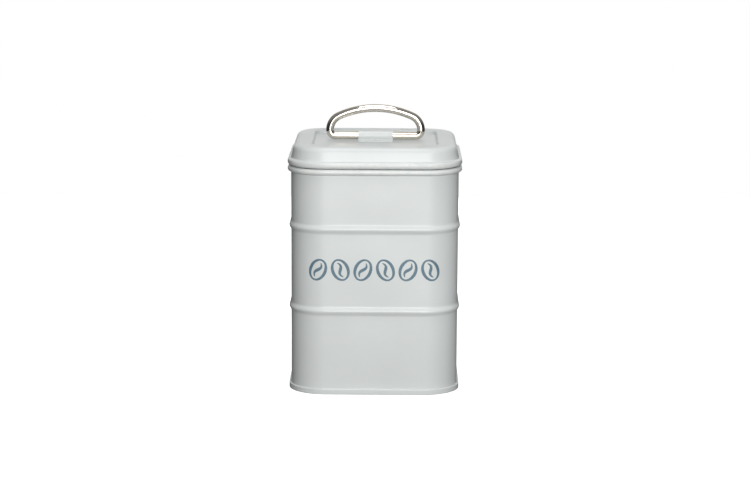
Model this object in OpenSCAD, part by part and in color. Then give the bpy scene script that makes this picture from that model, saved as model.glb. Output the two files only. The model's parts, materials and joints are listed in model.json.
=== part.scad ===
// Square coffee canister with a plug lid and a folding loop handle.
// Millimetres. +Z is up, and the origin is the middle of the base, on the surface it stands on.
// The front is -Y. Every pressed sheet part is a bent sheet section carried round a rounded square.

/* [Body] */
// Width across the flat sides, outside
body_w = 105; // [80:1:150]
// Height of the mouth's rolled edge above the base
body_h = 142.5; // [110:0.5:220]
// Outside radius of the four upright corners
corner_r = 22; // [16:0.5:30]
// Thickness of the sheet steel
sheet_t = 0.4; // [0.3:0.05:0.6]
// Outside height of the mouth's rolled edge
curl_h = 3.7; // [3:0.1:5]
// How far the rolled edges stand out from the side
curl_proud = 2.1; // [1.8:0.1:3]
// Width of the lap where the body sheet is joined down the back
lap_w = 6; // [4:0.5:10]

/* [Beads] */
// Height of the lower bead's middle
lower_bead_z = 53.1; // [30:0.1:65]
// Height of the upper bead's middle
upper_bead_z = 104.8; // [80:0.1:118]
// Height of a bead from edge to edge
bead_h = 6; // [5:0.5:10]
// How far a bead stands out
bead_proud = 1.2; // [0.6:0.1:1.8]

/* [Base seam] */
// Height of the rolled seam round the base
seam_h = 3.6; // [3:0.1:5]
// Height of the bottom panel's upper face
panel_z = 3.4; // [2.5:0.1:5]
// Clearance between the folded layers of the seam
fold_clear = 0.05; // [0.03:0.01:0.1]

/* [Lid] */
// Outside height of the lid's rolled rim
rim_h = 4; // [3:0.1:5]
// Height of the lid's crown above its rim
crown_h = 9.1; // [7:0.1:14]
// How far the lid's side leans in from foot to shoulder
lean = 1.9; // [1:0.1:4]
// Outside radius of the shoulder
shoulder_r = 4; // [2.5:0.5:5]
// Radius where the side flares out to the rim
flare_r = 1.5; // [1:0.1:2]
// Width of the flat border round the sunk panel
border_w = 8; // [5:0.5:12]
// Depth of the sunk panel below the border
sink_d = 2.4; // [2:0.1:6]
// Clearance under the lid's rim when the lid is on
lid_clear = 0.3; // [0.2:0.05:0.5]

/* [Plug and seal] */
// Depth of the plug below the lid's rim
plug_d = 11; // [9:0.5:16]
// Clearance between the plug and the mouth
plug_clear = 1.2; // [1:0.1:2]
// Height of the seal ring
seal_ring_h = 4; // [3:0.5:5]
// Depth of the groove that holds the seal
groove_d = 2; // [1.5:0.1:3]
// Clearance between the seal's lips and the mouth, with the lips drawn pressed in
lip_clear = 0.3; // [0.2:0.05:0.5]
// Clearance between the seal and its groove
groove_clear = 0.05; // [0.03:0.01:0.1]

/* [Handle] */
// Diameter of the round bar
rod_d = 5; // [4:0.1:7]
// Overall width of the loop
handle_w = 63; // [54:0.5:70]
// Height of the arch's centreline above the hinge line
handle_h = 17.65; // [16.5:0.05:24]
// Centreline radius of the arch
arch_r = 57; // [44:0.5:62]
// Centreline radius where the arch turns down
elbow_r = 10; // [4:0.5:11]
// Centreline radius of the two lower corners
foot_r = 3.2; // [3.1:0.1:5]
// Clearance under the bar, above the sunk panel
rod_lift = 1.05; // [1:0.05:3]

/* [Saddle] */
// Length of the clip along the bar
saddle_l = 22; // [16:0.5:30]
// Thickness of the clip's strap
strap_t = 0.8; // [0.6:0.05:2]
// Radial running clearance between bar and clip
rod_clear = 0.08; // [0.04:0.01:0.1]
// Reach of each foot beyond the strap
foot_l = 4.6; // [3:0.1:7]
// Thickness of the feet
foot_t = 0.8; // [0.6:0.1:1.6]

/* [Hidden] */
$fn = 64;

// Flat steps in each bend of a sheet
bend_steps = 4;
// Bend radius at the roots and the crest of a bead
bead_root_r = 1.6;

half_w = body_w / 2;
arm = half_w - corner_r;
wall_mid = -sheet_t / 2;

// Seam layers, each a sheet and a clearance further out
layer = sheet_t + fold_clear;
hook_mid = wall_mid + 2 * layer;
outer_mid = wall_mid + 3 * layer;
tuck_mid = wall_mid + layer;
chuck_mid = wall_mid - layer;
seam_lap = 1.4;

// Lid heights
rim_z = body_h + lid_clear;
rim_top = rim_z + rim_h;
lid_top = rim_top + crown_h;
floor_z = lid_top - sink_d;
flange_z = rim_z + sheet_t / 2 + layer;
rim_out = curl_proud - sheet_t / 2;
rim_bend_r = 1;

// Distance from the top of the lap to the seal
lap_stop = 1;

// Hinge line and handle
hinge_z = floor_z + rod_lift + rod_d / 2;
loop_half = (handle_w - rod_d) / 2;
elbow_x = loop_half - elbow_r;
arch_z = handle_h - arch_r;
elbow_z = arch_z + sqrt(pow(arch_r - elbow_r, 2) - pow(elbow_x, 2));
arch_half = atan2(elbow_x, elbow_z - arch_z);
elbow_run = 2;
elbow_slim = 0.02;
seat_clear = 0.03;

// Plug
skirt_mid = -sheet_t - plug_clear - sheet_t / 2;
groove_mid = skirt_mid - groove_d;
seal_low = rim_z - plug_d + 2.5;
seal_high = seal_low + seal_ring_h + 2 * groove_clear;
plug_low = rim_z - plug_d;

// Unit vector from one point to another
function along(a, b) = (b - a) / norm(b - a);

// Points of one bend at corner c between points a and b: radius r on the midline, side s off the midline.
// The arc is centred where both straights are r away, and a bend to the other side swaps the sign.
function bend(a, c, b, r, s) =
    let (u = along(c, a), v = along(c, b))
    let (turn = sign(u[1] * v[0] - u[0] * v[1]))
    let (half = acos(max(-1, min(1, u * v))) / 2)
    let (mid = along([0, 0], u + v))
    let (centre = c + mid * r / sin(half))
    let (sweep = 180 - 2 * half)
    let (start = atan2(-mid[1], -mid[0]) - turn * sweep / 2)
    [for (i = [0:bend_steps])
        let (a1 = start + turn * sweep * i / bend_steps)
        centre + (r + turn * s) * [cos(a1), sin(a1)]];

// Point at an open end of the midline, side s off it
function edge(a, b, s) =
    let (u = along(a, b))
    a + s * [u[1], -u[0]];

// One face of a sheet whose midline is a list of [out, up, radius]
function face(path, s) =
    let (n = len(path) - 1)
    let (p = [for (q = path) [q[0], q[1]]])
    concat(
        [edge(p[0], p[1], s)],
        [for (i = [1:n - 1]) each bend(p[i - 1], p[i], p[i + 1], path[i][2], s)],
        [p[n] + s * [along(p[n - 1], p[n])[1], -along(p[n - 1], p[n])[0]]]
    );

function reversed(list) = [for (i = [len(list) - 1:-1:0]) list[i]];

// Section of a bent sheet
module sheet(path) {
    polygon(concat(face(path, sheet_t / 2), reversed(face(path, -sheet_t / 2))));
}

// Carries a section, drawn outwards from the side's outer face, round the rounded square
module carried() {
    for (side = [0:3])
        rotate(90 * side) {
            translate([arm, arm, 0])
                rotate_extrude(angle = 90)
                    translate([corner_r, 0])
                        children();
            translate([arm + corner_r, arm, 0])
                rotate([90, 0, 0])
                    linear_extrude(2 * arm)
                        children();
        }
}

// Midline of one outward bead, from its lower root to its upper root
function bead(z) = [
    [wall_mid, z - bead_h / 2, bead_root_r],
    [wall_mid + bead_proud, z - bead_h / 8, bead_root_r],
    [wall_mid + bead_proud, z + bead_h / 8, bead_root_r],
    [wall_mid, z + bead_h / 2, bead_root_r]
];

// The sheet's own midline up the side, beads and all
function side_path(low, high) = concat(
    [[wall_mid, low, 0]],
    bead(lower_bead_z),
    bead(upper_bead_z),
    [[wall_mid, high, 0]]
);

// Body sheet: seam hook, side with two beads, mouth rolled outwards
module body_shell() {
    fold_z = sheet_t * 1.5 + fold_clear;
    curl_r = (curl_proud + sheet_t) / 2 - sheet_t / 2;
    curl_top = body_h - sheet_t / 2;
    curl_low = body_h - curl_h + sheet_t / 2;
    curl_out = curl_proud - sheet_t / 2;
    path = concat(
        [[hook_mid, seam_h - sheet_t - fold_clear, 0], [hook_mid, fold_z, sheet_t / 2 + 0.02]],
        [[wall_mid, fold_z, sheet_t / 2 + 0.02]],
        bead(lower_bead_z),
        bead(upper_bead_z),
        [[wall_mid, curl_top, curl_r - 0.05], [curl_out, curl_top, curl_r - 0.05]],
        [[curl_out, curl_low, curl_r - 0.05], [wall_mid + 2 * sheet_t, curl_low, 0]]
    );
    color("gainsboro") {
        carried() sheet(path);
        lap_strip();
    }
}

// Inner layer of the lap down the back, following the beads one sheet further in.
// It stops below the seal, where the mouth is rolled smooth.
module lap_strip() {
    low = seam_h + sheet_t;
    high = seal_low - lap_stop;
    translate([lap_w / 2, half_w - sheet_t, 0])
        rotate([90, 0, -90])
            linear_extrude(lap_w)
                mirror([1, 0])
                    sheet(side_path(low, high));
}

// Bottom panel with its countersunk wall and the seam folded round the body's hook
module bottom_end() {
    low = sheet_t / 2;
    top = seam_h - sheet_t / 2;
    tight = sheet_t / 2 + 0.02;
    panel_mid = panel_z - sheet_t / 2;
    path = [
        [-corner_r, panel_mid, 0],
        [chuck_mid, panel_mid, 0.8],
        [chuck_mid, low, tight],
        [outer_mid, low, tight],
        [outer_mid, top, tight],
        [tuck_mid, top, tight],
        [tuck_mid, top - seam_lap, 0]
    ];
    color("silver") {
        carried() sheet(path);
        middle(panel_mid);
    }
}

// Flat square between the four corner centres
module middle(mid_z) {
    translate([-arm, -arm, mid_z - sheet_t / 2])
        cube([2 * arm, 2 * arm, sheet_t]);
}

// Lid sheet: rolled rim, flared side, shoulder, border and sunk panel
module lid_shell() {
    foot_z = rim_top + 0.4;
    top_mid = lid_top - sheet_t / 2;
    floor_mid = floor_z - sheet_t / 2;
    rim_low = rim_z + sheet_t / 2;
    border_out = -lean - shoulder_r;
    sink_out = border_out - border_w;
    path = [
        [-corner_r, floor_mid, 0],
        [sink_out, floor_mid, sink_d / 3],
        [sink_out + 1.2, top_mid, sink_d / 3],
        [-lean, top_mid, shoulder_r - sheet_t / 2],
        [-0.1, foot_z - sheet_t / 2, flare_r],
        [rim_out, rim_top - sheet_t / 2, rim_bend_r],
        [rim_out, rim_low, rim_bend_r],
        [0, rim_low, 0]
    ];
    color("gainsboro") {
        carried() sheet(path);
        middle(floor_mid);
    }
}

// Plug pan under the lid: its flange runs into the rim, and its skirt has the seal's groove
module lid_plug() {
    small = sheet_t / 2 + 0.1;
    path = [
        [-corner_r, plug_low + sheet_t / 2, 0],
        [skirt_mid, plug_low + sheet_t / 2, 1.2],
        [skirt_mid, seal_low - sheet_t / 2, small],
        [groove_mid, seal_low - sheet_t / 2, small],
        [groove_mid, seal_high + sheet_t / 2, small],
        [skirt_mid, seal_high + sheet_t / 2, small],
        [skirt_mid, flange_z, 0.8],
        [rim_out - rim_bend_r, flange_z, 0]
    ];
    color("lightgray") {
        carried() sheet(path);
        middle(plug_low + sheet_t / 2);
    }
}

// Silicone ring with two lips
module lid_seal() {
    back = groove_mid + sheet_t / 2 + groove_clear;
    tip = -sheet_t - lip_clear;
    low = seal_low + groove_clear;
    stem = (back + tip) / 2;
    color("whitesmoke")
        carried()
            polygon([
                [back, low],
                [stem, low],
                [tip, low + seal_ring_h * 0.15],
                [tip, low + seal_ring_h * 0.3],
                [stem, low + seal_ring_h * 0.5],
                [tip, low + seal_ring_h * 0.65],
                [tip, low + seal_ring_h * 0.8],
                [stem, low + seal_ring_h],
                [back, low + seal_ring_h]
            ]);
}

// Clip over the bar, flat underneath, with a foot front and back on the sunk panel
module handle_saddle() {
    bore_r = rod_d / 2 + rod_clear;
    outer_r = bore_r + strap_t;
    seat_z = floor_z + seat_clear;
    color("gainsboro")
        translate([-saddle_l / 2, 0, 0])
            difference() {
                union() {
                    translate([0, 0, hinge_z])
                        rotate([0, 90, 0])
                            cylinder(r = outer_r, h = saddle_l);
                    translate([0, -outer_r + strap_t / 2, seat_z])
                        cube([saddle_l, 2 * outer_r - strap_t, hinge_z - seat_z]);
                    translate([0, -outer_r - foot_l, seat_z])
                        cube([saddle_l, 2 * (outer_r + foot_l), foot_t]);
                }
                translate([-1, 0, hinge_z])
                    rotate([0, 90, 0])
                        cylinder(r = bore_r, h = saddle_l + 2);
                translate([-1, -outer_r, seat_z - strap_t])
                    cube([saddle_l + 2, 2 * outer_r, strap_t]);
            }
}

// Part turn of round bar about the origin, in the upright plane
module bar_arc(r, from, sweep, d = rod_d) {
    rotate([90, 0, 0])
        rotate([0, 0, from])
            rotate_extrude(angle = sweep)
                translate([r, 0])
                    circle(d = d);
}

// Closed loop of round bar: straight foot, two corners, two elbows and the arch.
// The elbows are a hair slimmer than the rest and run a little way into the arch.
module handle_rod() {
    color("silver")
        translate([0, 0, hinge_z]) {
            translate([-(loop_half - foot_r), 0, 0])
                rotate([0, 90, 0])
                    cylinder(d = rod_d, h = 2 * (loop_half - foot_r));
            translate([0, 0, arch_z])
                bar_arc(arch_r, 90 - arch_half, 2 * arch_half);
            for (side = [0, 1])
                mirror([side, 0, 0]) {
                    translate([loop_half - foot_r, 0, foot_r])
                        bar_arc(foot_r, 270, 90);
                    translate([loop_half, 0, foot_r])
                        cylinder(d = rod_d, h = elbow_z - foot_r);
                    translate([elbow_x, 0, elbow_z])
                        bar_arc(elbow_r, 0, 90 - arch_half + elbow_run, rod_d - elbow_slim);
                }
        }
}

body_shell();
bottom_end();
lid_shell();
lid_plug();
lid_seal();
handle_saddle();
handle_rod();
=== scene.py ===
# %% [markdown]
# # A square kitchen canister
#
# The real tin is seven pieces: a painted steel side, a seamed bottom, a pressed lid, a plug pan under
# it, a silicone ring, a painted clip and a loop of plated bar. The first five share one idea: a section
# carried round a square with round corners. So much of this lesson is about writing that idea once and
# giving it five different sections.

# %% The frame
import json
import math

import bpy
import numpy as np
from mathutils import Matrix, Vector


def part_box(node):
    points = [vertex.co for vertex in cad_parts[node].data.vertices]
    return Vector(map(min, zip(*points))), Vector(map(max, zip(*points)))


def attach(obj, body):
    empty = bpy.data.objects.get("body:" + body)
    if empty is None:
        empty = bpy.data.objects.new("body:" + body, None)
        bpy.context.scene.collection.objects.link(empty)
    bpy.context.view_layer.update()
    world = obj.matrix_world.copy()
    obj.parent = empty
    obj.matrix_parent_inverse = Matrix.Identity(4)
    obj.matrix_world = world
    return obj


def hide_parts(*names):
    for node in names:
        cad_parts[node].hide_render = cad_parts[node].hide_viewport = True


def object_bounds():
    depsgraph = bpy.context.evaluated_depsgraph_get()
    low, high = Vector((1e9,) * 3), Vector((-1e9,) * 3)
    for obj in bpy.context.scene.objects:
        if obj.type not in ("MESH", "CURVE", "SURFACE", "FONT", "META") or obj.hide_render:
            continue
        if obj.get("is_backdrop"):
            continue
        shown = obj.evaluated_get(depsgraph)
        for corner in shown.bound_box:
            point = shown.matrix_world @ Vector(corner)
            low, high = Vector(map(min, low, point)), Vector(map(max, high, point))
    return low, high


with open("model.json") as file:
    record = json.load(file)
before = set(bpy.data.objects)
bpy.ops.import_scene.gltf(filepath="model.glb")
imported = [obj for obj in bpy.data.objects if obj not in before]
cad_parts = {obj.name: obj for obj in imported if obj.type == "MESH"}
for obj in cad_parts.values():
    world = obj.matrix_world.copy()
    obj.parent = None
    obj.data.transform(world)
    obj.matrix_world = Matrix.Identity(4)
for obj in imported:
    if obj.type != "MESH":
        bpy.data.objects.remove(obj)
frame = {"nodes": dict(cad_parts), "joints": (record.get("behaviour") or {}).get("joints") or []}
cad_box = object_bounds()
MM = 0.001
print("nodes in the frame:", sorted(frame["nodes"]))

# %% [markdown]
# ## Driving sizes
#
# Everything is worked out in millimetres. The outside sizes are read from the frame, so the surfaces
# follow it, and only what the frame's boxes can't tell, such as a bend's radius, is written here.

# %% Sizes
SHEET = 0.4
CORNER_R = 22.0
CURL_PROUD = 2.1


def node_box(name):
    """Lowest and highest corner of a node, in millimetres."""
    low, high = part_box(name)
    return np.array(low) / MM, np.array(high) / MM


body_high = node_box("body_shell")[1]
seam_high = node_box("bottom_end")[1]
lid_low, lid_high = node_box("lid_shell")
plug_low = node_box("lid_plug")[0]
seal_low, seal_high = node_box("lid_seal")
saddle_low, saddle_high = node_box("handle_saddle")
loop_low, loop_high = node_box("handle_rod")
hinge = next(j for j in frame["joints"] if j["name"] == "handle_fold")
hinge_z = hinge["pos_m"][2] / MM

half_w = body_high[0] - CURL_PROUD
arm = half_w - CORNER_R
mouth_z = body_high[2]
rim_z, lid_top = lid_low[2], lid_high[2]
floor_z = saddle_low[2] - 0.03
wall = -SHEET / 2
print("width over the flats %.1f mm, mouth at %.1f mm, lid top at %.1f mm" % (2 * half_w, mouth_z, lid_top))

# %% [markdown]
# ## From an outline to a sheet
#
# A press bends sheet round a former, so each bend is an arc of the sheet's middle line. An outline is
# therefore a short list of corners, each with its bend radius. The corners become arcs, the straights
# get points at an even spacing, and the line is then given the sheet's thickness with rounded edges.


# %% Bent line and sheet section
def bent_line(corners, spacing=0.6):
    """Middle line of a bent sheet, as an array of (out, up) points.

    Each corner is (out, up, radius). A bend of radius r in a corner with opening angle a touches the
    straights r / tan(a / 2) from the corner, and its centre lies r / sin(a / 2) along the bisector.
    """
    pts = np.array([c[:2] for c in corners], float)
    line = [pts[:1]]
    for i in range(1, len(pts)):
        if i == len(pts) - 1:
            stretch = [pts[i]]
        else:
            u = pts[i - 1] - pts[i]
            v = pts[i + 1] - pts[i]
            u, v = u / np.linalg.norm(u), v / np.linalg.norm(v)
            opening = math.acos(np.clip(u @ v, -1, 1))
            radius = corners[i][2]
            mid = (u + v) / np.linalg.norm(u + v)
            centre = pts[i] + mid * radius / math.sin(opening / 2)
            first = pts[i] + u * radius / math.tan(opening / 2)
            last = pts[i] + v * radius / math.tan(opening / 2)
            a0 = math.atan2(*(first - centre)[::-1])
            a1 = math.atan2(*(last - centre)[::-1])
            sweep = (a1 - a0 + math.pi) % (2 * math.pi) - math.pi
            steps = max(5, int(abs(sweep) / 0.16))
            a = a0 + sweep * np.linspace(0, 1, steps + 1)
            stretch = centre + radius * np.stack([np.cos(a), np.sin(a)], 1)
        gap = stretch[0] - line[-1][-1]
        count = max(1, int(np.linalg.norm(gap) / spacing))
        straight = line[-1][-1] + gap * np.linspace(0, 1, count + 1)[1:-1, None]
        line += [straight, np.atleast_2d(stretch)]
    line = np.concatenate(line)
    keep = np.r_[True, np.linalg.norm(np.diff(line, axis=0), axis=1) > 1e-4]
    return line[keep]


def line_normals(line):
    """Unit normals to the left of the line, from the direction between each point's neighbours."""
    along = np.gradient(line, axis=0)
    along[1:-1] = line[2:] - line[:-2]
    along /= np.linalg.norm(along, axis=1)[:, None]
    return np.stack([-along[:, 1], along[:, 0]], 1), along


def thick_section(line, thickness=SHEET, round_start=True, round_end=True, steps=5):
    """Closed section of a sheet: the line moved half a thickness each way, joined by half circles.

    An end that isn't rounded is left open, for a flat middle to close.
    """
    normal, along = line_normals(line)
    half = thickness / 2
    a = np.linspace(0, math.pi, steps + 2)[1:-1, None]
    left, right = line + half * normal, line - half * normal
    parts = [left]
    if round_end:
        parts.append(line[-1] + half * (np.cos(a) * normal[-1] + np.sin(a) * along[-1]))
    parts.append(right[::-1])
    if round_start:
        parts.append(line[0] - half * (np.cos(a) * normal[0] + np.sin(a) * along[0]))
    return np.concatenate(parts)


# %% [markdown]
# ## Carrying a section round the tin
#
# The path is a square with round corners. At each stop on it the section's outward distance is measured
# along the outward direction there, from a centre that slides along the straights and stands still in
# the corners. That makes a grid of points, stop by stop, with one row for each point of the section.


# %% Path and carried grid
def path_stops(corner_steps=18, side_steps=16):
    """Stops round the tin: centres, outward directions, place along a straight from -1 to 1, and side.

    A corner's stops turn about a fixed centre. A straight's stops keep one direction, and in the
    corners the place along the straight is held at 1, so that whatever fades there is zero.
    """
    centres, outs, places = [], [], []
    for quarter in range(4):
        turn = quarter * math.pi / 2
        spin = np.array([[math.cos(turn), -math.sin(turn)], [math.sin(turn), math.cos(turn)]])
        t = np.linspace(-1, 1, side_steps + 1)[:-1]
        centres.append(np.stack([np.full_like(t, arm), t * arm], 1) @ spin.T)
        outs.append(np.tile([1.0, 0.0], (len(t), 1)) @ spin.T)
        places.append(t)
        a = np.linspace(0, math.pi / 2, corner_steps + 1)[:-1]
        centres.append(np.tile([arm, arm], (len(a), 1)) @ spin.T)
        outs.append(np.stack([np.cos(a), np.sin(a)], 1) @ spin.T)
        places.append(np.ones_like(a))
    return np.concatenate(centres), np.concatenate(outs), np.concatenate(places)


def carried(section, crown=0.0, crown_window=None):
    """Grid of points: stops by section points by xyz.

    Point = centre + (corner radius + out) times outward, at height up. The straights bow outwards by
    crown times (1 - place squared) squared, faded by a window over the section's heights.
    """
    centres, outs, places = path_stops()
    reach = CORNER_R + section[None, :, 0]
    if crown:
        bow = crown * (1 - places[:, None] ** 2) ** 2
        reach = reach + bow * crown_window(section[None, :, 1])
    grid = np.empty((len(centres), len(section), 3))
    grid[..., :2] = centres[:, None] + reach[..., None] * outs[:, None]
    grid[..., 2] = section[None, :, 1]
    return grid


# %% [markdown]
# ## From a grid to a mesh
#
# A grid closes on itself round the path. A section that is a closed loop closes the other way too. One
# that is open leaves two edges in the middle of the tin, and each is closed by a single flat face.


# %% Mesh from a grid
def grid_faces(rows, columns, wrap_columns):
    """Quads between neighbouring rows and columns of a grid whose rows always close on themselves."""
    r, c = np.meshgrid(np.arange(rows), np.arange(columns if wrap_columns else columns - 1), indexing="ij")
    r2, c2 = (r + 1) % rows, (c + 1) % columns
    quads = np.stack([r * columns + c, r2 * columns + c, r2 * columns + c2, r * columns + c2], -1)
    return quads.reshape(-1, 4)


def signed_volume(points, faces):
    """Volume enclosed by quads, which is negative when they face inwards."""
    p = points[faces]
    first = np.einsum("ij,ij->i", p[:, 0], np.cross(p[:, 1], p[:, 2])).sum()
    second = np.einsum("ij,ij->i", p[:, 0], np.cross(p[:, 2], p[:, 3])).sum()
    return (first + second) / 6


def mesh_object(name, points, quads, polygons=()):
    """Smooth mesh in metres from points in millimetres, quads and any larger flat faces."""
    mesh = bpy.data.meshes.new(name)
    mesh.vertices.add(len(points))
    mesh.vertices.foreach_set("co", (points * MM).astype(np.float32).ravel())
    sizes = np.concatenate([np.full(len(quads), 4), [len(p) for p in polygons]]).astype(np.int32)
    corners = np.concatenate([quads.ravel(), *[np.asarray(p) for p in polygons]]).astype(np.int32)
    mesh.loops.add(len(corners))
    mesh.loops.foreach_set("vertex_index", corners)
    mesh.polygons.add(len(sizes))
    mesh.polygons.foreach_set("loop_start", np.concatenate([[0], np.cumsum(sizes)[:-1]]).astype(np.int32))
    mesh.polygons.foreach_set("use_smooth", np.ones(len(sizes), bool))
    mesh.update(calc_edges=True)
    mesh.validate()
    piece = bpy.data.objects.new(name, mesh)
    bpy.context.collection.objects.link(piece)
    print("%s: %d faces" % (name, len(mesh.polygons)))
    return piece


def carried_piece(name, section, open_middle=False, crown=0.0, crown_window=None, shape=None):
    """Piece from a section carried round the tin, faces outwards, with its middle closed if it is open."""
    grid = carried(section, crown, crown_window)
    if shape:
        grid = shape(grid)
    rows, columns = grid.shape[:2]
    points = grid.reshape(-1, 3)
    quads = grid_faces(rows, columns, not open_middle)
    polygons = []
    if open_middle:
        first = np.arange(rows) * columns
        polygons = [first[::-1], first + columns - 1]
    closing = [np.stack([np.full(len(p) - 2, p[0]), p[1:-1], p[2:], p[2:]], 1) for p in polygons]
    if signed_volume(points, np.concatenate([quads, *closing])) < 0:
        quads = quads[:, ::-1]
        polygons = [p[::-1] for p in polygons]
    return mesh_object(name, points, quads, polygons)


# %% [markdown]
# ## The side
#
# The side is one sheet. Its lower edge is hooked into the base seam, two beads stiffen it, and its
# mouth is rolled outwards so that no cut edge shows. A bead is rolled between two wheels, so its shape
# is a smooth wave: half of one plus a cosine. Between the beads a real flat side is never quite flat,
# and the light bends on its slight crown.

# %% Body
BEAD_H, BEAD_PROUD = 6.0, 1.2
BEAD_HEIGHTS = (53.1, 104.8)
CURL_H, CURL_R, CURL_NECK_R = 3.7, 1.6, 0.45
FOLD_GAP = 0.05
SIDE_CROWN = 0.22
layer = SHEET + FOLD_GAP
tight = SHEET / 2 + 0.02


def bead_wave(up):
    """Outward distance of the beads at a height: proud times (1 + cos) / 2 within each bead."""
    total = np.zeros_like(up)
    for middle in BEAD_HEIGHTS:
        phase = np.clip((up - middle) / (BEAD_H / 2), -1, 1)
        total += BEAD_PROUD * (1 + np.cos(math.pi * phase)) / 2
    return total


def crown_window(up):
    """One in the middle of each panel between rims and beads, and zero at its edges."""
    edges = [seam_high[2], BEAD_HEIGHTS[0], BEAD_HEIGHTS[1], mouth_z - CURL_H]
    total = np.zeros_like(up)
    for low, high in zip(edges[:-1], edges[1:]):
        place = np.clip((up - low) / (high - low), 0, 1)
        total += np.sin(math.pi * place) ** 2
    return total


def body_section():
    """Hook in the seam, straight side and rolled mouth, with the beads added to the straight side."""
    fold_z = SHEET * 1.5 + FOLD_GAP
    curl_out = CURL_PROUD - SHEET / 2
    curl_low = mouth_z - CURL_H + SHEET / 2
    corners = [
        (wall + 2 * layer, seam_high[2] - SHEET - FOLD_GAP, 0),
        (wall + 2 * layer, fold_z, tight),
        (wall, fold_z, tight),
        (wall, mouth_z - SHEET / 2, CURL_NECK_R),
        (curl_out, mouth_z - SHEET / 2, CURL_R),
        (curl_out, curl_low, CURL_R),
        (wall + 2 * SHEET, curl_low, 0),
    ]
    line = bent_line(corners)
    line[:, 0] += bead_wave(line[:, 1])
    return thick_section(line)


body = carried_piece("canister_side", body_section(), crown=SIDE_CROWN, crown_window=crown_window)
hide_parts("body_shell")
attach(body, "tin")

# %% [markdown]
# ## The bottom
#
# The bottom's edge is folded round the side's hook and pressed flat, five layers deep. The panel is
# sunk so that only the seam touches the shelf, and a shallow ring pressed into it keeps it from
# drumming.

# %% Bottom
PANEL_TOP = 3.4
SEAM_LAP = 1.4
RING_OUT, RING_DEEP, RING_WIDE = -12.0, 0.7, 4.0
MIDDLE_OUT = 2.0 - CORNER_R


def bottom_section():
    """Panel, countersunk wall and the folded seam, with a cosine ring pressed down into the panel."""
    panel = PANEL_TOP - SHEET / 2
    outer, tuck = wall + 3 * layer, wall + layer
    top = seam_high[2] - SHEET / 2
    corners = [
        (MIDDLE_OUT, panel, 0),
        (wall - layer, panel, 0.8),
        (wall - layer, SHEET / 2, tight),
        (outer, SHEET / 2, tight),
        (outer, top, tight),
        (tuck, top, tight),
        (tuck, top - SEAM_LAP, 0),
    ]
    line = bent_line(corners)
    phase = np.clip((line[:, 0] - RING_OUT) / (RING_WIDE / 2), -1, 1)
    line[:, 1] -= RING_DEEP * (1 + np.cos(math.pi * phase)) / 2 * (line[:, 1] > panel - 0.01)
    return thick_section(line, round_start=False)


bottom = carried_piece("seamed_bottom", bottom_section(), open_middle=True)
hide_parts("bottom_end")
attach(bottom, "tin")

# %% [markdown]
# ## The lid
#
# The lid is pressed in one stroke. Its side leans in, flares out to the rim in a small hollow, and
# turns over a soft shoulder to a flat border. The middle is sunk a little, so the handle's foot sits
# partly below the border.

# %% Lid
RIM_H, LEAN = 4.0, 1.9
SHOULDER_R, FLARE_R = 4.0, 0.9
RIM_TOP_R, RIM_LOW_R = 1.25, 1.75
BORDER_W, SINK_SLOPE = 8.0, 1.2
rim_out = CURL_PROUD - SHEET / 2
sink_out = -LEAN - SHOULDER_R - BORDER_W


def lid_section():
    """Sunk panel, border, shoulder, leaning side, hollow flare and rolled rim."""
    top, sunk = lid_top - SHEET / 2, floor_z - SHEET / 2
    rim_top, rim_low = rim_z + RIM_H - SHEET / 2, rim_z + SHEET / 2
    step_r = (lid_top - floor_z) / 3
    corners = [
        (MIDDLE_OUT, sunk, 0),
        (sink_out, sunk, step_r),
        (sink_out + SINK_SLOPE, top, step_r),
        (-LEAN, top, SHOULDER_R - SHEET / 2),
        (-0.1, rim_top + 0.4, FLARE_R),
        (rim_out, rim_top, RIM_TOP_R),
        (rim_out, rim_low, RIM_LOW_R),
        (0, rim_low, 0),
    ]
    return thick_section(bent_line(corners), round_start=False)


lid = carried_piece("pressed_lid", lid_section(), open_middle=True)
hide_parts("lid_shell")
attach(lid, "lid")

# %% [markdown]
# ## The plug and its seal
#
# Under the lid a shallow pan goes into the mouth. Its flange is caught in the lid's rolled rim and a
# groove round its skirt holds a silicone ring with two soft lips.

# %% Plug and seal
PLUG_CLEAR, GROOVE_D, GROOVE_GAP = 1.2, 2.0, 0.05
FLANGE_SHORT = 1.0
skirt = -1.5 * SHEET - PLUG_CLEAR


def plug_section():
    """Pan floor, skirt with its groove, and the flange that runs into the rim."""
    small = SHEET / 2 + 0.1
    floor = plug_low[2] + SHEET / 2
    low = seal_low[2] - GROOVE_GAP - SHEET / 2
    high = seal_high[2] + GROOVE_GAP + SHEET / 2
    flange = rim_z + SHEET / 2 + layer
    corners = [
        (MIDDLE_OUT, floor, 0),
        (skirt, floor, 1.2),
        (skirt, low, small),
        (skirt - GROOVE_D, low, small),
        (skirt - GROOVE_D, high, small),
        (skirt, high, small),
        (skirt, flange, 0.8),
        (rim_out - FLANGE_SHORT, flange, 0),
    ]
    return thick_section(bent_line(corners), round_start=False)


plug = carried_piece("plug_pan", plug_section(), open_middle=True)
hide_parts("lid_plug")
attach(plug, "lid")


def seal_section():
    """Closed outline of the ring: a flat back and two lips whose tips are half circles."""
    back = skirt - GROOVE_D + SHEET / 2 + GROOVE_GAP
    tip = seal_high[0] - half_w
    low, height = seal_low[2], seal_high[2] - seal_low[2]
    up = np.linspace(0, 1, 81)
    stem = (back + tip) / 2
    wave = (1 - np.cos(4 * math.pi * up)) / 2
    front = np.stack([stem + (tip - stem) * wave ** 0.7, low + height * up], 1)
    rear = np.array([[back, low + height], [back, low + height / 2], [back, low]])
    return np.concatenate([front, rear])


seal = carried_piece("silicone_seal", seal_section())
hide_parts("lid_seal")
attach(seal, "lid")

# %% [markdown]
# ## The clip
#
# The handle turns in a clip: a strap wrapped over the bar and tucked in under it on both sides, then
# turned out into two feet that are spot welded to the lid. The tuck under the bar leaves a shaded crease
# that tells the eye the clip grips a round bar.

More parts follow.
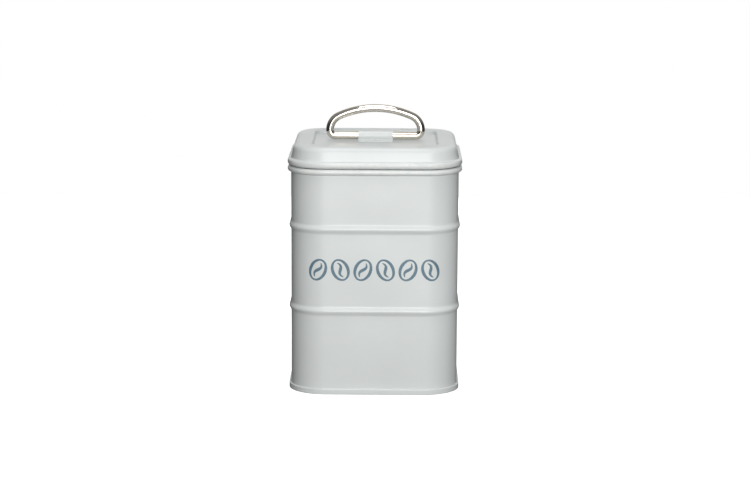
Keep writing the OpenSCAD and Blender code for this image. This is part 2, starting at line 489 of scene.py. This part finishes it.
# %% Clip
STRAP_T = 0.72
TUCK = math.radians(32)
EDGE_ROUND = 0.3
WELD_R, WELD_DEEP = 1.3, 0.22
WELD_X = 6.5


def clip_line():
    """Middle line in (along Y, up): foot, small outward bend, wrap over the bar, and the same again.

    The wrap is a circle about the bar from an angle below level on one side to the same on the other.
    The outward bend turns from the wrap's direction to level, and its radius is the drop that is left
    divided by 1 + cos(90 - tuck), the height of such an arc.
    """
    wrap_r = saddle_high[2] - hinge_z - STRAP_T / 2
    foot_up = saddle_low[2] + STRAP_T / 2 - hinge_z
    a = np.linspace(-TUCK, math.pi / 2, 40)
    wrap = wrap_r * np.stack([np.cos(a), np.sin(a)], 1)
    drop = wrap[0, 1] - foot_up
    bend_r = drop / (1 + math.sin(TUCK))
    centre = np.array([wrap[0, 0] + bend_r * math.cos(TUCK), foot_up + bend_r])
    b = np.linspace(-math.pi / 2, -math.pi - TUCK, 14)
    bend = centre + bend_r * np.stack([np.cos(b), np.sin(b)], 1)
    foot_y = np.linspace(saddle_high[1] - STRAP_T / 2, bend[0, 0] + 0.2, 14)
    foot = np.stack([foot_y, np.full(14, foot_up)], 1)
    half = np.concatenate([foot, bend, wrap[1:]])
    line = np.concatenate([half, (half * [-1, 1])[::-1][1:]])
    return line + [0, hinge_z]


def clip_piece():
    """The strap's section at stops along X, thinned towards both ends so that the cut edges are round."""
    half_l = saddle_high[0]
    a = np.linspace(0, math.pi / 2, 6)
    ends = half_l - EDGE_ROUND * (1 - np.sin(a))
    thin = 2 * EDGE_ROUND * (1 - np.cos(a)) * 0.999
    inner = np.arange(-half_l + EDGE_ROUND, half_l - EDGE_ROUND, 0.45)[1:]
    stops = np.concatenate([-ends[::-1], inner, ends])
    cuts = np.concatenate([thin[::-1], np.zeros(len(inner)), thin])
    line = clip_line()
    grid = np.empty((len(stops), len(thick_section(line, STRAP_T)), 3))
    for row, (x, cut) in enumerate(zip(stops, cuts)):
        section = thick_section(line, STRAP_T - cut)
        grid[row] = np.column_stack([np.full(len(section), x), section])
    foot_top = saddle_low[2] + STRAP_T
    on_foot = np.exp(-(((foot_top - grid[..., 2]) / 0.15) ** 2))
    weld_y = (saddle_high[1] + saddle_high[2] - hinge_z) / 2 + 0.3
    for x in (-WELD_X, WELD_X):
        for y in (-weld_y, weld_y):
            far = np.hypot(grid[..., 0] - x, grid[..., 1] - y) / WELD_R
            grid[..., 2] -= WELD_DEEP * np.exp(-(far ** 4)) * on_foot
    rows, columns = grid.shape[:2]
    points = grid.reshape(-1, 3)
    r, c = np.meshgrid(np.arange(rows - 1), np.arange(columns), indexing="ij")
    c2 = (c + 1) % columns
    quads = np.stack([r * columns + c, r * columns + c2, (r + 1) * columns + c2, (r + 1) * columns + c], -1)
    quads = quads.reshape(-1, 4)
    ends = [np.arange(columns)[::-1], (rows - 1) * columns + np.arange(columns)]
    if signed_volume(points, quads) < 0:
        quads, ends = quads[:, ::-1], [e[::-1] for e in ends]
    return mesh_object("handle_clip", points, quads, ends)


clip = clip_piece()
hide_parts("handle_saddle")
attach(clip, "lid")

# %% [markdown]
# ## The handle
#
# The handle is one bar bent into a closed loop: a straight foot, two tight corners, two wide elbows and
# a long shallow arch. The middle line is worked out arc by arc, and a circle is carried round it. The
# loop is flat, so the circle's two axes are the loop's own inward direction and Y.

# %% Handle
ARCH_R, ELBOW_R, FOOT_R = 57.0, 10.0, 3.2
ROD_SIDES = 40
rod_r = (loop_high[1] - loop_low[1]) / 2
loop_half = (loop_high[0] - loop_low[0]) / 2 - rod_r
handle_h = loop_high[2] - hinge_z - rod_r


def arc(centre, radius, start, sweep, step=0.5):
    """Points of an arc with their outward directions, about a step apart, without the last one."""
    count = max(4, int(abs(sweep) * radius / step))
    a = start + sweep * np.arange(count) / count
    out = np.stack([np.cos(a), np.sin(a)], 1)
    return np.array(centre) + radius * out, out


def straight(start, end, out, step=1.0):
    """Points of a straight with one outward direction, without the last one."""
    start, end = np.array(start, float), np.array(end, float)
    count = max(1, int(np.linalg.norm(end - start) / step))
    t = np.arange(count)[:, None] / count
    return start + (end - start) * t, np.tile(np.array(out, float), (count, 1))


def loop_line():
    """Closed middle line in (across, up) about the hinge, counterclockwise from the foot's left end.

    The elbow's centre is elbow radius in from the side, at the height where its distance to the arch's
    centre is the arch radius less the elbow radius, so that the two arcs share a tangent.
    """
    arch_up = handle_h - ARCH_R
    elbow_x = loop_half - ELBOW_R
    elbow_up = arch_up + math.sqrt((ARCH_R - ELBOW_R) ** 2 - elbow_x ** 2)
    meet = math.atan2(elbow_up - arch_up, elbow_x)
    foot_x = loop_half - FOOT_R
    quarter = math.pi / 2
    runs = [
        straight((-foot_x, 0), (foot_x, 0), (0, -1)),
        arc((foot_x, FOOT_R), FOOT_R, -quarter, quarter),
        straight((loop_half, FOOT_R), (loop_half, elbow_up), (1, 0)),
        arc((elbow_x, elbow_up), ELBOW_R, 0, meet),
        arc((0, arch_up), ARCH_R, meet, math.pi - 2 * meet),
        arc((-elbow_x, elbow_up), ELBOW_R, math.pi - meet, meet),
        straight((-loop_half, elbow_up), (-loop_half, FOOT_R), (-1, 0)),
        arc((-foot_x, FOOT_R), FOOT_R, math.pi, quarter),
    ]
    return np.concatenate([r[0] for r in runs]), np.concatenate([r[1] for r in runs])


def handle_piece():
    """Tube: line point + rod radius times (cos a along the outward direction + sin a along Y)."""
    line, out = loop_line()
    a = np.linspace(0, 2 * math.pi, ROD_SIDES, endpoint=False)
    grid = np.empty((len(line), ROD_SIDES, 3))
    grid[..., 0] = line[:, None, 0] + rod_r * np.cos(a) * out[:, None, 0]
    grid[..., 1] = rod_r * np.sin(a)
    grid[..., 2] = hinge_z + line[:, None, 1] + rod_r * np.cos(a) * out[:, None, 1]
    points = grid.reshape(-1, 3)
    quads = grid_faces(len(line), ROD_SIDES, True)
    if signed_volume(points, quads) < 0:
        quads = quads[:, ::-1]
    return mesh_object("handle_loop", points, quads)


handle = handle_piece()
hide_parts("handle_rod")
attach(handle, "handle")

# %% [markdown]
# ## The print
#
# A row of coffee beans is screen printed across the front. Ink is a layer with a thickness of its own,
# so each line of the drawing is a thin ribbon laid on the side, following its crown and its corners. A
# bean is an ellipse with a wavy seam down it, drawn thick and thin like a pen stroke.

# %% Print
BEANS = 6
PRINT_W = 82.0
PRINT_MIDDLE_Z = 79.5
BEAN_LONG, BEAN_WIDE = 6.6, 4.7
BEAN_TILT = math.radians(24)
STROKE_THICK, STROKE_THIN = 1.9, 1.1
INK = 0.03


def on_side(along, up, lift):
    """Point on the front: along is measured round the surface from the middle, lift is off the surface.

    Within the flat x is along and the crown adds to the depth. Past it, the angle is the rest of the
    way divided by the corner radius.
    """
    flat = np.clip(along, -arm, arm)
    angle = (along - flat) / CORNER_R
    bow = SIDE_CROWN * (1 - (flat / arm) ** 2) ** 2 * crown_window(up)
    reach = CORNER_R + lift + bow
    return np.stack([flat + reach * np.sin(angle), -(arm + reach * np.cos(angle)), up], -1)


def ribbon(line, width, closed):
    """Points and faces of a flat stroke: line moved sideways by shares of the width, top and underside."""
    along = np.roll(line, -1, 0) - np.roll(line, 1, 0) if closed else np.gradient(line, axis=0)
    along /= np.linalg.norm(along, axis=1)[:, None]
    side = np.stack([-along[:, 1], along[:, 0]], 1)
    across = np.array([-1, -0.9, -0.4, 0.4, 0.9, 1, 0.6, -0.6]) / 2
    lift = INK * np.array([0.3, 1, 1, 1, 1, 0.3, -0.5, -0.5])
    flat = line[:, None] + side[:, None] * (across[None, :, None] * width[:, None, None])
    points = on_side(flat[..., 0], flat[..., 1], np.broadcast_to(lift, flat.shape[:2]))
    rows, columns = points.shape[:2]
    quads = grid_faces(rows, columns, True)
    ends = []
    if not closed:
        quads = quads[: (rows - 1) * columns]
        ends = [np.arange(columns), (np.arange(columns) + (rows - 1) * columns)[::-1]]
    return points.reshape(-1, 3), quads, ends


def bean_strokes(centre, tilt):
    """The outline, an ellipse, and the seam, a line with one full sine wave, both turned by the tilt."""
    spin = np.array([[math.cos(tilt), -math.sin(tilt)], [math.sin(tilt), math.cos(tilt)]])
    t = np.linspace(0, 2 * math.pi, 120, endpoint=False)
    outline = np.stack([BEAN_WIDE * np.cos(t), BEAN_LONG * np.sin(t)], 1)
    heavy = STROKE_THIN + (STROKE_THICK - STROKE_THIN) * np.cos(t) ** 2
    s = np.linspace(-1, 1, 60)
    seam = np.stack([1.25 * np.sin(math.pi * s), 0.74 * BEAN_LONG * s], 1)
    taper = STROKE_THICK * np.sqrt(1.02 - s ** 6) * (0.75 + 0.25 * np.cos(math.pi * s))
    return (outline @ spin.T + centre, heavy, True), (seam @ spin.T + centre, taper, False)


def print_piece():
    """All the strokes of all the beans in one mesh, the beans leaning left and right in turn."""
    half_row = PRINT_W / 2 - BEAN_LONG * math.sin(BEAN_TILT) - BEAN_WIDE * math.cos(BEAN_TILT) * 0.75
    points, quads, ends, count = [], [], [], 0
    for i, along in enumerate(np.linspace(-half_row, half_row, BEANS)):
        tilt = BEAN_TILT * (1 if i % 2 else -1)
        for line, width, closed in bean_strokes(np.array([along, PRINT_MIDDLE_Z]), tilt):
            p, q, e = ribbon(line, width, closed)
            if signed_volume(p - p.mean(0), q) < 0:
                q, e = q[:, ::-1], [x[::-1] for x in e]
            points.append(p)
            quads.append(q + count)
            ends += [x + count for x in e]
            count += len(p)
    return mesh_object("bean_print", np.concatenate(points), np.concatenate(quads), ends)


beans = print_piece()
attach(beans, "tin")

# %% [markdown]
# ## Finishes
#
# Every finish starts from what the real one is and how it was put on. Colours are written as sRGB hex,
# as a paint chart gives them, and made linear by one function. Patterns are sized in millimetres and
# divided into a metre, because the object is in metres and a texture's scale counts repeats per metre.


# %% Node helpers
def linear(hex_colour):
    """Linear RGBA from an sRGB hex colour."""
    value = np.array([int(hex_colour[i:i + 2], 16) / 255 for i in (1, 3, 5)])
    value = np.where(value <= 0.04045, value / 12.92, ((value + 0.055) / 1.055) ** 2.4)
    return (*value.tolist(), 1.0)


def per_metre(size_mm):
    """Texture scale whose pattern repeats about every so many millimetres."""
    return 1 / (size_mm * MM)


def add(tree, kind, inputs, **settings):
    """Adds a node, sets its options, then links or fills its inputs, which go by name or by number."""
    made = tree.nodes.new(kind)
    for name, value in settings.items():
        setattr(made, name, value)
    for name, value in inputs.items():
        if isinstance(value, bpy.types.NodeSocket):
            tree.links.new(value, made.inputs[name])
        else:
            made.inputs[name].default_value = value
    return made


def new_finish(name):
    """Empty finish: its material, its tree, its shader and the object's own coordinates."""
    material = bpy.data.materials.new(name)
    material.use_nodes = True
    tree = material.node_tree
    place = add(tree, "ShaderNodeTexCoord", {}).outputs["Object"]
    return material, tree, tree.nodes["Principled BSDF"], place


# %% [markdown]
# ### Stoved enamel
#
# The outside is a pale grey enamel, sprayed on the finished tin and stoved. Spraying leaves orange peel,
# ripples a millimetre or two wide and a few microns deep, which soften every reflection. The film is a
# little smoother and paler where hands and shelves rub it: the rims, the seam and the crests of the
# beads. How far a point is rubbed is an attribute of the piece, worked out from its shape further on.


# %% Enamel
def enamel():
    """Semi-gloss enamel. A noise's middle, 0.3 to 0.7, is mapped to each property's small range."""
    material, tree, shader, place = new_finish("stoved_enamel")
    cloud = add(tree, "ShaderNodeTexNoise", {"Vector": place, "Scale": per_metre(38), "Detail": 3.0})
    peel = add(tree, "ShaderNodeTexNoise", {"Vector": place, "Scale": per_metre(1.7), "Detail": 2.0})
    scuff = add(tree, "ShaderNodeTexNoise", {"Vector": place, "Scale": per_metre(4), "Detail": 5.0})
    tone = add(tree, "ShaderNodeMapRange", {0: cloud.outputs[0], 1: 0.3, 2: 0.7})
    patchy = add(tree, "ShaderNodeMapRange", {0: scuff.outputs[0], 1: 0.35, 2: 0.65})
    rub = add(tree, "ShaderNodeAttribute", {}, attribute_name="rub")
    worn = add(tree, "ShaderNodeMath", {0: rub.outputs["Fac"], 1: patchy.outputs[0]}, operation="MULTIPLY")
    colours = {0: tone.outputs[0], 6: linear("#dbdfde"), 7: linear("#d6dad9")}
    film = add(tree, "ShaderNodeMix", colours, data_type="RGBA")
    colours = {0: worn.outputs[0], 6: film.outputs[2], 7: linear("#e4e6e3")}
    rubbed = add(tree, "ShaderNodeMix", colours, data_type="RGBA")
    rough = add(tree, "ShaderNodeMapRange", {0: cloud.outputs[0], 1: 0.3, 2: 0.7, 3: 0.30, 4: 0.38})
    smooth = {0: worn.outputs[0], 1: -0.08, 2: rough.outputs[0]}
    smooth = add(tree, "ShaderNodeMath", smooth, operation="MULTIPLY_ADD")
    bump = add(tree, "ShaderNodeBump", {"Height": peel.outputs[0], "Strength": 0.5, "Distance": 0.00002})
    tree.links.new(rubbed.outputs[2], shader.inputs["Base Color"])
    tree.links.new(smooth.outputs[0], shader.inputs["Roughness"])
    tree.links.new(bump.outputs[0], shader.inputs["Normal"])
    shader.inputs["IOR"].default_value = 1.5
    return material


# %% [markdown]
# ### Tinplate
#
# Inside, the sheet is as it came from the mill: steel with a flow-melted skin of tin under a clear
# lacquer. The tin froze in flat crystals a few millimetres across, and the rolls left fine lines that
# run up the sheet.


# %% Tinplate
def tinplate():
    """Lacquered metal. The crystals are cells, and the rolling lines are a noise stretched fifty times."""
    material, tree, shader, place = new_finish("lacquered_tinplate")
    crystal = add(tree, "ShaderNodeTexVoronoi", {"Vector": place, "Scale": per_metre(7)})
    shade = add(tree, "ShaderNodeSeparateColor", {"Color": crystal.outputs["Color"]})
    colours = {0: shade.outputs[0], 6: linear("#c9c8c2"), 7: linear("#bcbbb5")}
    skin = add(tree, "ShaderNodeMix", colours, data_type="RGBA")
    stretch = add(tree, "ShaderNodeMapping", {"Vector": place, "Scale": (1.0, 1.0, 0.02)})
    lines = {"Vector": stretch.outputs[0], "Scale": per_metre(0.4), "Detail": 3.0}
    lines = add(tree, "ShaderNodeTexNoise", lines)
    rough = add(tree, "ShaderNodeMapRange", {0: lines.outputs[0], 1: 0.3, 2: 0.7, 3: 0.24, 4: 0.36})
    bump = add(tree, "ShaderNodeBump", {"Height": lines.outputs[0], "Strength": 0.25, "Distance": 0.00001})
    tree.links.new(skin.outputs[2], shader.inputs["Base Color"])
    tree.links.new(rough.outputs[0], shader.inputs["Roughness"])
    tree.links.new(bump.outputs[0], shader.inputs["Normal"])
    shader.inputs["Metallic"].default_value = 1.0
    return material


# %% [markdown]
# ### Silicone
#
# The seal is moulded silicone, milky and soft. Light goes a little way in and comes out again, so it
# has no hard shadows, and its skin is dull with a fine dust.


# %% Silicone
def silicone():
    """Moulded silicone with a dusty bloom. Light scatters about two millimetres inside it."""
    material, tree, shader, place = new_finish("moulded_silicone")
    dust = add(tree, "ShaderNodeTexNoise", {"Vector": place, "Scale": per_metre(2.5), "Detail": 5.0})
    colours = {0: dust.outputs[0], 6: linear("#e8eae6"), 7: linear("#dadcd6")}
    bloom = add(tree, "ShaderNodeMix", colours, data_type="RGBA")
    rough = add(tree, "ShaderNodeMapRange", {0: dust.outputs[0], 1: 0.3, 2: 0.7, 3: 0.42, 4: 0.55})
    bump = add(tree, "ShaderNodeBump", {"Height": dust.outputs[0], "Strength": 0.2, "Distance": 0.00002})
    tree.links.new(bloom.outputs[2], shader.inputs["Base Color"])
    tree.links.new(rough.outputs[0], shader.inputs["Roughness"])
    tree.links.new(bump.outputs[0], shader.inputs["Normal"])
    shader.inputs["IOR"].default_value = 1.41
    shader.inputs["Subsurface Weight"].default_value = 0.35
    shader.inputs["Subsurface Radius"].default_value = (1.0, 0.95, 0.85)
    shader.inputs["Subsurface Scale"].default_value = 0.002
    return material


# %% [markdown]
# ### Bright nickel plate
#
# The handle was polished and plated with bright nickel, which is a touch warmer than chrome. A polished
# bar is a mirror, so nearly all of its look is the room. What belongs to the bar is a haze of hairline
# scratches, drawn half a millimetre wide so that they show, and faint finger marks that dull it in
# patches.


# %% Plate
def bright_plate():
    """Warm mirror. The hairlines are a noise stretched eight times along X, the length of the bar."""
    material, tree, shader, place = new_finish("bright_nickel_plate")
    marks = add(tree, "ShaderNodeTexNoise", {"Vector": place, "Scale": per_metre(9), "Detail": 4.0})
    colours = {0: marks.outputs[0], 6: linear("#e2dcd2"), 7: linear("#d4cdc2")}
    skin = add(tree, "ShaderNodeMix", colours, data_type="RGBA")
    rough = add(tree, "ShaderNodeMapRange", {0: marks.outputs[0], 1: 0.3, 2: 0.7, 3: 0.05, 4: 0.11})
    stretch = add(tree, "ShaderNodeMapping", {"Vector": place, "Scale": (0.12, 1.0, 1.0)})
    hairs = {"Vector": stretch.outputs[0], "Scale": per_metre(0.5), "Detail": 4.0}
    hairs = add(tree, "ShaderNodeTexNoise", hairs)
    bump = add(tree, "ShaderNodeBump", {"Height": hairs.outputs[0], "Strength": 0.15, "Distance": 0.000006})
    tree.links.new(skin.outputs[2], shader.inputs["Base Color"])
    tree.links.new(rough.outputs[0], shader.inputs["Roughness"])
    tree.links.new(bump.outputs[0], shader.inputs["Normal"])
    shader.inputs["Metallic"].default_value = 1.0
    return material


# %% [markdown]
# ### Screen ink
#
# The ink is a slate blue, squeezed through a mesh. The mesh leaves it slightly mottled, and it dries
# duller than the enamel under it.


# %% Ink
def screen_ink():
    """Matt ink. The mesh's mottle is 0.6 mm wide, and the squeegee's uneven pressure 7 mm."""
    material, tree, shader, place = new_finish("screen_ink")
    mottle = add(tree, "ShaderNodeTexNoise", {"Vector": place, "Scale": per_metre(0.6), "Detail": 2.0})
    press = add(tree, "ShaderNodeTexNoise", {"Vector": place, "Scale": per_metre(7), "Detail": 3.0})
    colours = {0: press.outputs[0], 6: linear("#54707f"), 7: linear("#66808f")}
    film = add(tree, "ShaderNodeMix", colours, data_type="RGBA")
    thin = add(tree, "ShaderNodeMapRange", {0: mottle.outputs[0], 1: 0.45, 2: 0.75, 3: 0.0, 4: 0.5})
    colours = {0: thin.outputs[0], 6: film.outputs[2], 7: linear("#8298a3")}
    speckled = add(tree, "ShaderNodeMix", colours, data_type="RGBA")
    rough = add(tree, "ShaderNodeMapRange", {0: mottle.outputs[0], 1: 0.3, 2: 0.7, 3: 0.42, 4: 0.55})
    bump = add(tree, "ShaderNodeBump", {"Height": mottle.outputs[0], "Strength": 0.3, "Distance": 0.00001})
    tree.links.new(speckled.outputs[2], shader.inputs["Base Color"])
    tree.links.new(rough.outputs[0], shader.inputs["Roughness"])
    tree.links.new(bump.outputs[0], shader.inputs["Normal"])
    return material


# %% [markdown]
# ## Putting the finishes on
#
# A face takes the finish of its own side of the sheet. Whatever looks into the tin is tinplate, up to
# the roll at the mouth, which the enamel covers. The rubbed edges are found from the shape: the further
# a point stands out from the flat side, the more it is touched.


# %% How far out a point is
def from_axis(points):
    """Distance out of points from the tin's axis, past the flat half width, in millimetres.

    The part of x and y beyond the corner centres is measured as a length, less the corner radius.
    """
    past = np.maximum(np.abs(points[:, :2]) / MM - arm, 0)
    return np.linalg.norm(past, axis=1) - CORNER_R


def outward_part(points, normals):
    """How much of each normal points away from the tin's axis."""
    past = np.sign(points[:, :2]) * np.maximum(np.abs(points[:, :2]) - arm * MM, 0)
    return (normals[:, :2] * past).sum(1) / (np.linalg.norm(past, axis=1) + 1e-9)


def read_faces(piece):
    """Centres and normals of a piece's faces, as arrays."""
    count = len(piece.data.polygons)
    centres, normals = np.empty(count * 3, np.float32), np.empty(count * 3, np.float32)
    piece.data.polygons.foreach_get("center", centres)
    piece.data.polygons.foreach_get("normal", normals)
    return centres.reshape(-1, 3), normals.reshape(-1, 3)


def mark_rub(piece):
    """Writes the rub attribute: the square of the way out from 0.8 mm proud to the rims."""
    points = np.empty(len(piece.data.vertices) * 3, np.float32)
    piece.data.vertices.foreach_get("co", points)
    rub = np.clip((from_axis(points.reshape(-1, 3)) - 0.8) / (CURL_PROUD - 0.8), 0, 1) ** 2
    attribute = piece.data.attributes.new("rub", "FLOAT", "POINT")
    attribute.data.foreach_set("value", rub.astype(np.float32))


# %% Finishes on the pieces
stoved, tinned = enamel(), tinplate()
for piece in (body, bottom, lid, clip):
    piece.data.materials.append(stoved)
    mark_rub(piece)

centres, normals = read_faces(body)
inner_face = wall + bead_wave(centres[:, 2] / MM)
inside = (outward_part(centres, normals) < 0) & (from_axis(centres) < inner_face)
inside &= centres[:, 2] < (mouth_z - 1.3) * MM
body.data.materials.append(tinned)
body.data.polygons.foreach_set("material_index", inside.astype(np.int32))

centres, normals = read_faces(bottom)
upper = (from_axis(centres) < wall - SHEET) & (normals[:, 2] > 0.02)
bottom.data.materials.append(tinned)
bottom.data.polygons.foreach_set("material_index", upper.astype(np.int32))

plug.data.materials.append(tinned)
seal.data.materials.append(silicone())
handle.data.materials.append(bright_plate())
beans.data.materials.append(screen_ink())
print("faces of tinplate: %d in the side, %d in the bottom" % (inside.sum(), upper.sum()))

# %% [markdown]
# ## Table top
#
# The tin stands on a white acrylic table lit a little from below, which keeps its shadow faint. A white
# table would throw light back up and flatten the tin's underside, so it is left out of the light that
# bounces, and only the eye sees it.


# %% Table top
def table_top():
    """Square metre and a half of satin acrylic, faintly cloudy, glowing just short of white."""
    half = 750.0
    points = np.array([[-half, -half, 0], [half, -half, 0], [half, half, 0], [-half, half, 0]])
    top = mesh_object("table_top", points, np.array([[0, 1, 2, 3]]))
    material, tree, shader, place = new_finish("satin_acrylic")
    cloud = add(tree, "ShaderNodeTexNoise", {"Vector": place, "Scale": per_metre(60), "Detail": 2.0})
    colours = {0: cloud.outputs[0], 6: linear("#fbfbfb"), 7: linear("#f9f9f9")}
    white = add(tree, "ShaderNodeMix", colours, data_type="RGBA")
    tree.links.new(white.outputs[2], shader.inputs["Base Color"])
    shader.inputs["Roughness"].default_value = 0.6
    shader.inputs["Emission Color"].default_value = linear("#ffffff")
    shader.inputs["Emission Strength"].default_value = 0.85
    top.data.materials.append(material)
    top.visible_diffuse = False
    top.visible_glossy = False
    top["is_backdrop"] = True


table_top()

# %% [markdown]
# ## Light
#
# A low softbox in front, a touch to the right, lights the sides face on, and they darken only as they
# turn away round the corners. A smaller one almost overhead lights the lid and the upper edges of the
# rims and beads, and leaves a thin shadow under each. A lit backdrop brightens the far side. The room is
# dark at the horizon, grey overhead and a little paler below, and that draws the lines along the bar.


# %% Softboxes and room
def softbox(name, turn, rise, size, power, away=1.4):
    """Square light at a turn from the front and a rise above level, facing the middle of the tin."""
    data = bpy.data.lights.new(name, "AREA")
    data.shape, data.size, data.energy = "SQUARE", size, power
    turn, rise = math.radians(turn), math.radians(rise)
    light = bpy.data.objects.new(name, data)
    level = away * math.cos(rise)
    middle = lid_top * MM / 2
    light.location = (level * math.sin(turn), -level * math.cos(turn), middle + away * math.sin(rise))
    light.rotation_euler = (math.pi / 2 - rise, 0, turn)
    light.visible_camera = False
    bpy.context.collection.objects.link(light)


def room():
    """Grey by height for the light: darkest at the horizon, paler up and down. The eye sees it white."""
    world = bpy.data.worlds.new("room")
    bpy.context.scene.world = world
    world.use_nodes = True
    tree = world.node_tree
    tree.nodes.clear()
    way = add(tree, "ShaderNodeTexCoord", {}).outputs["Generated"]
    height = add(tree, "ShaderNodeSeparateXYZ", {0: way}).outputs["Z"]
    height = add(tree, "ShaderNodeMapRange", {0: height, 1: -1.0, 2: 1.0})
    greys = add(tree, "ShaderNodeValToRGB", {0: height.outputs[0]})
    stops = greys.color_ramp.elements
    stops[0].position, stops[0].color = 0.0, (0.3, 0.3, 0.3, 1)
    stops[1].position, stops[1].color = 1.0, (0.3, 0.3, 0.3, 1)
    for position, grey in ((0.25, 0.12), (0.42, 0.04), (0.58, 0.05), (0.75, 0.25)):
        stops.new(position).color = (grey, grey, grey, 1)
    lit = add(tree, "ShaderNodeBackground", {"Color": greys.outputs[0], "Strength": 1.0})
    seen = add(tree, "ShaderNodeBackground", {"Color": linear("#ffffff"), "Strength": 1.0})
    eye = add(tree, "ShaderNodeLightPath", {}).outputs["Is Camera Ray"]
    mix = add(tree, "ShaderNodeMixShader", {0: eye, 1: lit.outputs[0], 2: seen.outputs[0]})
    add(tree, "ShaderNodeOutputWorld", {"Surface": mix.outputs[0]})


softbox("key_softbox", turn=8, rise=12, size=0.7, power=9.4, away=1.1)
softbox("top_softbox", turn=3, rise=76, size=0.6, power=6.0)
softbox("backdrop_light", turn=180, rise=28, size=1.5, power=5.0)
room()
bpy.context.scene.view_settings.view_transform = "Standard"

# %% [markdown]
# ## Camera
#
# The tin is seen almost square on, from a little above, and from far enough away that its sides stay
# nearly upright.

# %% Camera
CAMERA_AWAY, CAMERA_HIGH = 1.3785, 0.3328
CAMERA_TURN = math.radians(0.5)
CAMERA_DOWN, CAMERA_ROLL = math.radians(10.282), math.radians(0.261)
LENS = 104.29


def make_camera():
    """Camera turned round the tin at its distance and height, pitched down and rolled by a hair."""
    data = bpy.data.cameras.new("camera")
    data.sensor_width, data.lens = 36.0, LENS
    data.clip_start, data.clip_end = 0.05, 50.0
    camera = bpy.data.objects.new("camera", data)
    across, back = math.sin(CAMERA_TURN), -math.cos(CAMERA_TURN)
    camera.location = (CAMERA_AWAY * across, CAMERA_AWAY * back, CAMERA_HIGH)
    turn = Matrix.Rotation(CAMERA_TURN, 3, "Z")
    pitch = Matrix.Rotation(math.pi / 2 - CAMERA_DOWN, 3, "X")
    roll = Matrix.Rotation(CAMERA_ROLL, 3, "Z")
    camera.rotation_euler = (turn @ pitch @ roll).to_euler()
    bpy.context.collection.objects.link(camera)
    bpy.context.scene.camera = camera


make_camera()

# %% [markdown]
# ## Both boxes
#
# The frame's box and the looks' box are printed side by side. The looks must not grow
# past the frame.

# %% Finish
boxes = {"cad": cad_box, "visual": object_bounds()}
boxes = {name: [list(map(float, corner)) for corner in box] for name, box in boxes.items()}
print("boxes in metres:", boxes)
